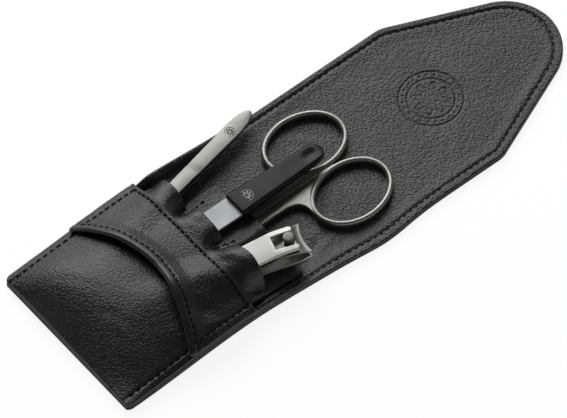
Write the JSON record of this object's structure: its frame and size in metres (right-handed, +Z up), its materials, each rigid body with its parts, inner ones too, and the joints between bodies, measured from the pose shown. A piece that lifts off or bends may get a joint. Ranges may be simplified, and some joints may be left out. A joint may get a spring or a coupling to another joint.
{
  "type": "manicure set case",
  "caption": "Open leather case with a pointed flap and an arched strap, holding nail scissors, a handled file, tweezers and a lever clipper in sewn loops.",
  "frame": {"origin": "under the middle of the opened case, on the surface that it lies on", "axes": "+Y from the closed end of the pouch to the tip of the flap, +Z up out of the opened case, +X across it, to the right as seen from the closed end"},
  "size_m": [0.07, 0.2216, 0.0174],
  "materials": {
    "cover_leather": "black, pebbled grain, low sheen",
    "lining_leather": "black, fine soft grain, satin",
    "panel_leather": "black, fine soft grain, satin",
    "satin_steel": "fine satin",
    "bright_steel": "bright satin",
    "black_plastic": "semi-matte"
  },
  "bodies": {
    "pouch": {"back_cover": "cover_leather", "back_lining": "lining_leather", "scissors_pocket_panel": "panel_leather", "tool_loops_panel": "panel_leather", "front_panel": "cover_leather", "closing_strap": "cover_leather"},
    "fold": {"fold_cover": "cover_leather", "fold_lining": "lining_leather"},
    "flap": {"flap_cover": "cover_leather", "flap_lining": "lining_leather"},
    "scissors": {"scissors_screw": "satin_steel"},
    "scissors_right": {"scissors_right_half": "satin_steel"},
    "scissors_left": {"scissors_left_half": "satin_steel"},
    "file": {"file_blade": "satin_steel", "file_handle": "black_plastic"},
    "tweezers": {"tweezers_lower_arm": "satin_steel"},
    "tweezers_arm": {"tweezers_upper_arm": "satin_steel"},
    "clipper": {"clipper_lower_arm": "bright_steel", "clipper_lever": "bright_steel", "clipper_post": "bright_steel", "clipper_cross_pin": "bright_steel", "clipper_tail_rivet": "bright_steel"},
    "clipper_jaw": {"clipper_upper_arm": "bright_steel"}
  },
  "joints": [
    {"name": "fold_hinge", "type": "hinge", "parent": "pouch", "child": "fold", "pos_m": [0, 0.02735, 0.0024], "axis": [-1, 0, 0], "range_deg": [-90, 0]},
    {"name": "flap_hinge", "type": "hinge", "parent": "fold", "child": "flap", "pos_m": [0, 0.04335, 0.0024], "axis": [-1, 0, 0], "range_deg": [-90, 0]},
    {"name": "scissors_slide", "type": "slide", "parent": "pouch", "child": "scissors", "axis": [0, 1, 0], "range_m": [-0.007, 0.05]},
    {"name": "scissors_right_pivot", "type": "hinge", "parent": "scissors", "child": "scissors_right", "pos_m": [0.001, -0.03285, 0.004], "axis": [0, 0, -1], "range_deg": [0, 8]},
    {"name": "scissors_left_pivot", "type": "hinge", "parent": "scissors", "child": "scissors_left", "pos_m": [0.001, -0.03285, 0.004], "axis": [0, 0, 1], "range_deg": [0, 8]},
    {"name": "file_slide", "type": "slide", "parent": "pouch", "child": "file", "axis": [0, 1, 0], "range_m": [-0.007, 0.05]},
    {"name": "tweezers_slide", "type": "slide", "parent": "pouch", "child": "tweezers", "axis": [-0.2045, 0.9789, 0], "range_m": [-0.007, 0.05]},
    {"name": "tweezers_squeeze", "type": "hinge", "parent": "tweezers", "child": "tweezers_arm", "pos_m": [-0.03136, -0.00808, 0.00793], "axis": [0.9789, 0.2045, 0], "range_deg": [0, 1.5], "stiffness_Nm_per_rad": 0.5, "springref_deg": -1.72},
    {"name": "clipper_slide", "type": "slide", "parent": "pouch", "child": "clipper", "axis": [0.2756, 0.9613, 0], "range_m": [0, 0.045]},
    {"name": "clipper_squeeze", "type": "hinge", "parent": "clipper", "child": "clipper_jaw", "pos_m": [0.00885, -0.0719, 0.00819], "axis": [-0.9613, 0.2756, 0], "range_deg": [0, 2], "stiffness_Nm_per_rad": 1, "springref_deg": -1.72}
  ],
  "couplings": [
    {"joint": "flap_hinge", "follows": "fold_hinge", "ratio": 1},
    {"joint": "scissors_left_pivot", "follows": "scissors_right_pivot", "ratio": 1}
  ]
}
